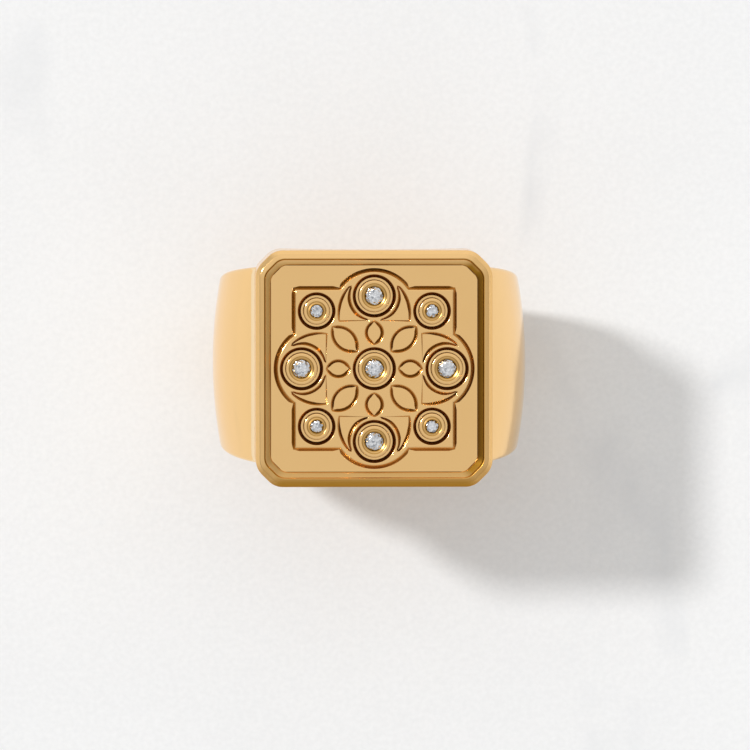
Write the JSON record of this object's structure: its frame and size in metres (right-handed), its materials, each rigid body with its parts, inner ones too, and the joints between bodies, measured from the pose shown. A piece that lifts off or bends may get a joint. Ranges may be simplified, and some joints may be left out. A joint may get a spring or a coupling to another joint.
{
  "type": "signet ring",
  "caption": "Gold-coloured signet ring: wide domed band, square head with cut corners and a bevelled rim, pierced quatrefoil motif with small round stones in collets.",
  "frame": {"origin": "centre of the finger hole", "axes": "+Y along the finger towards the top edge of the face, +Z out through the face, +X to the right of the face seen from outside"},
  "size_m": [0.0204, 0.0152, 0.0221],
  "materials": {
    "gold": "polished",
    "stone": "gloss"
  },
  "bodies": {
    "root": {"shank": "gold", "head_frame": "gold", "table_plate": "gold", "emblem_relief": "gold", "collet_1": "gold", "collet_2": "gold", "collet_3": "gold", "collet_4": "gold", "collet_5": "gold", "collet_6": "gold", "collet_7": "gold", "collet_8": "gold", "collet_9": "gold", "stone_1": "stone", "stone_2": "stone", "stone_3": "stone", "stone_4": "stone", "stone_5": "stone", "stone_6": "stone", "stone_7": "stone", "stone_8": "stone", "stone_9": "stone"}
  },
  "joints": []
}
